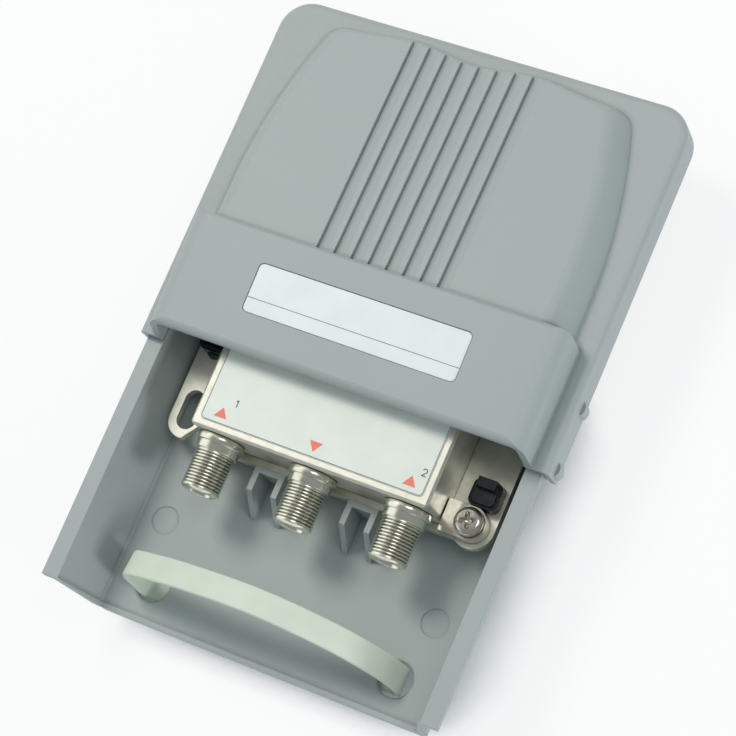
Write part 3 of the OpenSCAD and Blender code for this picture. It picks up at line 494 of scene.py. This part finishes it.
def screw_rings():
    """Rings of the earth screw from the shank's end up to the middle of its head."""
    low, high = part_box("earth_screw")
    middle = (low + high) / 2
    head_r = (high.x - low.x) / 2
    head_z = high.z - SCREW_HEAD_HEIGHT
    shank = head_z - low.z
    steps = SCREW_THREAD_STEPS * round(shank / SCREW_PITCH)
    soft = TURNED_EDGE / 2
    profile = [(SCREW_SHANK_RADIUS, low.z + shank * i / steps) for i in range(steps + 1)]
    profile += [(head_r - soft, head_z), (head_r, head_z + soft)]
    dome_height = SCREW_HEAD_HEIGHT - SCREW_HEAD_RIM - SCREW_CROWN
    for i in range(SCREW_DOME_STEPS + 1):
        rise = math.radians(90 * i / SCREW_DOME_STEPS)
        profile.append((SCREW_TOP_RADIUS + (head_r - SCREW_TOP_RADIUS) * math.cos(rise),
                        head_z + SCREW_HEAD_RIM + dome_height * math.sin(rise)))
    for i in range(1, SCREW_TOP_STEPS):
        share = 1 - i / SCREW_TOP_STEPS
        profile.append((SCREW_TOP_RADIUS * share, high.z - SCREW_CROWN * share * share))
    rings = []
    for radius, z in profile:
        ring = []
        for i in range(SCREW_SEGMENTS):
            angle = math.tau * i / SCREW_SEGMENTS
            r = radius
            depth = 0.0
            if radius == SCREW_SHANK_RADIUS and z < head_z:
                r -= SCREW_THREAD_DEPTH * thread_groove(z, angle, SCREW_PITCH, THREAD_CREST)
            elif z > head_z + SCREW_HEAD_RIM:
                depth = recess_depth(radius, angle)
            ring.append((middle.x + r * math.cos(angle), middle.y + r * math.sin(angle), z - depth))
        rings.append(ring)
    return rings


def add_earth_screw():
    piece = new_piece("cross_head_screw", lambda shape: join_rings(shape, screw_rings(), capped=True),
                      SLOT_MATERIALS["nickel_turned"], "screw", ["earth_screw"])
    smooth(piece)


# Cable tie

def curve_through(points, steps):
    """Smooth run of points through the given ones."""
    ends = [points[0]] + points + [points[-1]]
    run = []
    for a, b, c, d in zip(ends, ends[1:], ends[2:], ends[3:]):
        for i in range(steps):
            t = i / steps
            run.append(b + 0.5 * t * (c - a + t * (2 * a - 5 * b + 4 * c - d + t * (3 * (b - c) + d - a))))
    run.append(points[-1])
    return run


def tie_section():
    """Strap section as (thickness, width) points, with round edges."""
    return round_rectangle(TIE_THICK, TIE_WIDTH, TIE_EDGE)


def quarter_bend(centre_x, start):
    """Points of a quarter turn clockwise under the floor, from the start angle in degrees."""
    points = []
    for i in range(TIE_BEND_STEPS + 1):
        angle = math.radians(start - 90 * i / TIE_BEND_STEPS)
        points.append(Vector((centre_x + TIE_BEND * math.cos(angle),
                              TIE_UNDER + TIE_BEND + TIE_BEND * math.sin(angle))))
    return points


def tie_route():
    """Middle points of the strap and their leans: from its head through the left hole, over, and back."""
    right_leg = TIE_SPACING + TIE_LEG
    arch = [Vector((x * TIE_SPACING, h * TIE_RISE)) for x, h in TIE_ARCH]
    arch = curve_through([Vector((-TIE_LEG, 0))] + arch + [Vector((right_leg, 0))], TIE_ARCH_STEPS)
    start = [Vector((TIE_HEAD_X + TIE_END_INSET, TIE_UNDER))] + quarter_bend(TIE_BEND - TIE_LEG, -90)
    end = quarter_bend(right_leg - TIE_BEND, 0)
    end.append(Vector((TIE_HEAD_X + TIE_HEAD_LENGTH - TIE_END_INSET, TIE_UNDER)))
    return ([(point, 0.0) for point in start] + [(point, TIE_LEAN) for point in arch]
            + [(point, 0.0) for point in end])


def tie_origin():
    """Middle of the left hole at the tray's floor."""
    return Vector((-TIE_SPACING / 2, TIE_HOLE_Y, TIE_FLOOR_Z))


def strap_rings():
    route = tie_route()
    rings = []
    for i, (point, lean) in enumerate(route):
        before = route[max(i - 1, 0)][0]
        after = route[min(i + 1, len(route) - 1)][0]
        along = (after - before).normalized()
        out = Vector((-along.y, along.x))
        turn = Matrix.Rotation(-lean, 3, "X")
        ring = []
        for thick, wide in tie_section():
            flat = Vector((point.x + out.x * thick, wide, point.y + out.y * thick))
            ring.append(tie_origin() + turn @ flat)
        rings.append(ring)
    return rings


def head_rings():
    """Rounded block of the tie's head, with a sunk window in its outer face."""
    soft = TIE_HEAD_SOFT
    top = TIE_UNDER + TIE_THICK / 2
    middle = tie_origin() + Vector((TIE_HEAD_X + TIE_HEAD_LENGTH / 2, 0, 0))
    levels = [(0.0, soft), (soft, 0.0), (TIE_HEAD_HEIGHT - soft, 0.0), (TIE_HEAD_HEIGHT, soft)]
    rings = []
    for down, inset in levels:
        outline = round_rectangle(TIE_HEAD_LENGTH - 2 * inset, TIE_HEAD_WIDTH - 2 * inset, 2 * soft)
        rings.append([middle + Vector((p.x, p.y, top - down)) for p in outline])
    for down in (TIE_HEAD_HEIGHT, TIE_HEAD_HEIGHT - 2 * soft):
        outline = round_rectangle(TIE_HEAD_WINDOW * TIE_HEAD_LENGTH, TIE_HEAD_WINDOW * TIE_HEAD_WIDTH, soft)
        rings.append([middle + Vector((p.x, p.y, top - down)) for p in outline])
    return rings


def build_tie(shape):
    join_rings(shape, strap_rings(), capped=True)
    join_rings(shape, head_rings(), capped=True)


def add_tie():
    piece = new_piece("nylon_tie", build_tie, SLOT_MATERIALS["tie_nylon"], "tray",
                      ["cable_tie"])
    smooth(piece)


# Printing on the labels

def label_frame(node):
    """Matrix from flat print places, x and y from the label's middle, to the label's upper face."""
    low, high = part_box(node)
    mesh = frame["nodes"][node].data
    up = max(mesh.polygons, key=lambda face: face.area).normal.copy()
    if up.z < 0:
        up = -up
    across = Vector((1, 0, 0))
    along = up.cross(across)
    middle = (low + high) / 2
    rise = max(vertex.co.dot(up) for vertex in mesh.vertices) - middle.dot(up)
    turned = Matrix((across, along, up)).transposed().to_4x4()
    return Matrix.Translation(middle + rise * up) @ turned


def label_size(node, place):
    """Width and height of a label's face."""
    flat = [place.inverted() @ vertex.co for vertex in frame["nodes"][node].data.vertices]
    return 2 * max(point.x for point in flat), 2 * max(point.y for point in flat)


def film_rings(place, outline):
    """Lower and upper ring of an ink film with the given outline."""
    return [[place @ Vector((p.x, p.y, z)) for p in outline] for z in (-INK_SUNK, INK_HEIGHT)]


def border_rings(place, width, height):
    """Rings of a thin frame just inside the label's edge."""
    rings = []
    for inset in (BORDER_INSET, BORDER_INSET + BORDER_WIDTH):
        outline = round_rectangle(width - 2 * inset, height - 2 * inset, LABEL_RADIUS - inset)
        rings.append(film_rings(place, outline))
    outer, inner = rings
    return [outer[0], outer[1], inner[1], inner[0]]


def arrow(base, direction):
    """Triangle on the given middle of its base that points up for 1 and down for -1."""
    half = Vector((ARROW_BASE / 2, 0))
    return [base - half, base + half, base + Vector((0, direction * ARROW_HEIGHT))]


def stroke(points, width):
    """Outline of an even band along a line of points."""
    sides = ([], [])
    for i, point in enumerate(points):
        along = (points[min(i + 1, len(points) - 1)] - points[max(i - 1, 0)]).normalized()
        aside = Vector((-along.y, along.x)) * width / 2
        sides[0].append(point + aside)
        sides[1].append(point - aside)
    return sides[0] + sides[1][::-1]


def digit_one(foot):
    """Strokes of a figure 1 that stands on its foot."""
    top = foot + Vector((0, DIGIT_HEIGHT))
    flag = foot + Vector((-0.25, 0.78)) * DIGIT_HEIGHT
    return [stroke([foot, top], DIGIT_STROKE), stroke([flag, top], DIGIT_STROKE)]


def digit_two(foot):
    """Strokes of a figure 2 whose lower left corner is its foot."""
    radius = 0.3 * DIGIT_HEIGHT
    centre = foot + Vector((radius, DIGIT_HEIGHT - radius))
    bow = []
    for i in range(DIGIT_BOW_STEPS + 1):
        angle = math.radians(170 - 210 * i / DIGIT_BOW_STEPS)
        bow.append(centre + radius * Vector((math.cos(angle), math.sin(angle))))
    return [stroke(bow + [foot], DIGIT_STROKE),
            stroke([foot, foot + Vector((2.1 * radius, 0))], DIGIT_STROKE)]


def add_print(name, material, body, outlines, frames=()):
    """Ink films with the given outlines and frames as one piece."""
    def build(shape):
        for rings in outlines:
            join_rings(shape, rings, capped=True)
        for rings in frames:
            join_rings(shape, rings, closed=True)
    new_piece(name, build, material, body)


def add_box_print():
    """Frame, an arrow for each port and the two input numbers on the box's label."""
    place = label_frame("switch_label")
    width, height = label_size("switch_label", place)
    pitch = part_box("port_body_right")[0].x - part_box("port_body_centre")[0].x
    input_y = ARROW_MARGIN - height / 2
    first_input = Vector((ARROW_SHIFT - pitch, input_y))
    second_input = Vector((ARROW_SHIFT + pitch, input_y))
    output = Vector((ARROW_SHIFT, input_y + ARROW_STEP))
    arrows = [arrow(first_input, 1), arrow(output, -1), arrow(second_input, 1)]
    digits = digit_one(first_input + ONE_PLACE) + digit_two(second_input + TWO_PLACE)
    add_print("box_arrows", RED_INK, "tray", [film_rings(place, outline) for outline in arrows])
    add_print("box_print", DARK_INK, "tray", [film_rings(place, outline) for outline in digits],
              [border_rings(place, width, height)])


def add_cover_print():
    """One dividing line on the cover's label."""
    place = label_frame("cover_label")
    width, height = label_size("cover_label", place)
    line_y = DIVIDER_SHARE * height
    half = width / 2 - BORDER_INSET
    line = stroke([Vector((-half, line_y)), Vector((half, line_y))], BORDER_WIDTH)
    add_print("cover_print", DARK_INK, "cover", [film_rings(place, line)])


# Stage

def add_camera():
    camera = bpy.data.cameras.new("photo_camera")
    camera.sensor_width = SENSOR_WIDTH
    camera.lens = CAMERA_LENS
    camera.clip_start = 0.01
    camera.clip_end = 20
    back = (CAMERA_PLACE - CAMERA_AIM).normalized()
    right = CAMERA_UP.cross(back).normalized()
    up = back.cross(right)
    holder = bpy.data.objects.new("photo_camera", camera)
    turned = Matrix((right, up, back)).transposed().to_4x4()
    holder.matrix_world = Matrix.Translation(CAMERA_PLACE) @ turned
    bpy.context.scene.collection.objects.link(holder)
    bpy.context.scene.camera = holder


def seen_directly(tree):
    """1 for rays that show the background: from the camera, a mirror-like surface or through glass."""
    path = add_node(tree, "ShaderNodeLightPath").outputs
    first = add_node(tree, "ShaderNodeMath", {0: path["Is Camera Ray"], 1: path["Is Glossy Ray"]},
                     operation="MAXIMUM").outputs[0]
    return add_node(tree, "ShaderNodeMath", {0: first, 1: path["Is Transmission Ray"]},
                    operation="MAXIMUM").outputs[0]


def floor_material():
    """Pale floor, nearly white to the camera and mirrors, with the object's shadow and dark under it."""
    material, tree, shader = new_material("pale_floor")
    shader.inputs["Base Color"].default_value = rgba(0.88, 0.89, 0.90)
    shader.inputs["Roughness"].default_value = 0.9
    glow = add_node(tree, "ShaderNodeEmission", {"Color": rgba(1, 1, 1), "Strength": 1.0})
    clear = spread(tree, open_share(tree, FLOOR_GAP), 0.0, BACKGROUND_SHARE, FLOOR_CLOSED, FLOOR_OPEN)
    share = add_node(tree, "ShaderNodeMath", {0: seen_directly(tree), 1: clear},
                     operation="MULTIPLY").outputs[0]
    mixed = add_node(tree, "ShaderNodeMixShader",
                     {0: share, 1: shader.outputs["BSDF"], 2: glow.outputs["Emission"]})
    tree.links.new(mixed.outputs["Shader"], tree.nodes["Material Output"].inputs["Surface"])
    return material


def add_floor():
    corners = [(-FLOOR_REACH, -FLOOR_REACH, 0), (FLOOR_REACH, -FLOOR_REACH, 0),
               (FLOOR_REACH, FLOOR_REACH, 0), (-FLOOR_REACH, FLOOR_REACH, 0)]
    mesh = bpy.data.meshes.new("floor")
    mesh.from_pydata(corners, [], [(0, 1, 2, 3)])
    mesh.materials.append(floor_material())
    floor = bpy.data.objects.new("floor", mesh)
    bpy.context.scene.collection.objects.link(floor)


def add_world():
    world = bpy.data.worlds.new("studio")
    world.use_nodes = True
    tree = world.node_tree
    background = tree.nodes["Background"]
    direction = add_node(tree, "ShaderNodeTexCoord").outputs["Generated"]
    aside = add_node(tree, "ShaderNodeSeparateXYZ", {"Vector": direction}).outputs["X"]
    mirrored = spread(tree, aside, 1.0, STUDIO_LEVEL, WALL_FULL_X, WALL_END_X)
    direct = seen_directly(tree)
    camera = add_node(tree, "ShaderNodeLightPath").outputs["Is Camera Ray"]
    shown = add_node(tree, "ShaderNodeMath", {0: mirrored, 1: camera}, operation="MAXIMUM").outputs[0]
    level = add_node(tree, "ShaderNodeMix", {0: direct, 2: AMBIENT_LEVEL, 3: shown}, data_type="FLOAT")
    tree.links.new(level.outputs[0], background.inputs["Strength"])
    tree.links.new(blend_colours(tree, direct, AMBIENT_TINT, rgba(1, 1, 1)), background.inputs["Color"])
    bpy.context.scene.world = world


def add_lamp(name, place, size, power, colour, mirrored=True):
    """Soft lamp aimed at the origin; mirrored says whether glossy surfaces show it."""
    lamp = bpy.data.lights.new(name, "AREA")
    lamp.shape = "RECTANGLE"
    lamp.size, lamp.size_y = size
    lamp.energy = power
    lamp.color = colour
    holder = bpy.data.objects.new(name, lamp)
    holder.location = place
    holder.rotation_mode = "QUATERNION"
    holder.rotation_quaternion = (-Vector(place)).to_track_quat("-Z", "Y")
    holder.visible_glossy = mirrored
    bpy.context.scene.collection.objects.link(holder)


def add_lamps():
    """The key lamp is two lamps in one place, and only the second of them shows in mirrors."""
    add_lamp("key", KEY_PLACE, KEY_SIZE, 2.4, WARM_WHITE, mirrored=False)
    add_lamp("gleam", KEY_PLACE, KEY_SIZE, 2.2, WARM_WHITE)
    add_lamp("overhead", (0.36, 0.18, 0.88), (0.30, 0.50), 1.1, NEAR_WHITE)
    add_lamp("side", (0.90, -0.22, 0.30), (0.20, 0.20), 2.7, COOL_WHITE, mirrored=False)


add_camera()
dress_cad_nodes()
add_ports()
add_earth_screw()
add_tie()
add_box_print()
add_cover_print()
add_floor()
add_world()
add_lamps()
bpy.context.scene.view_settings.view_transform = "Standard"
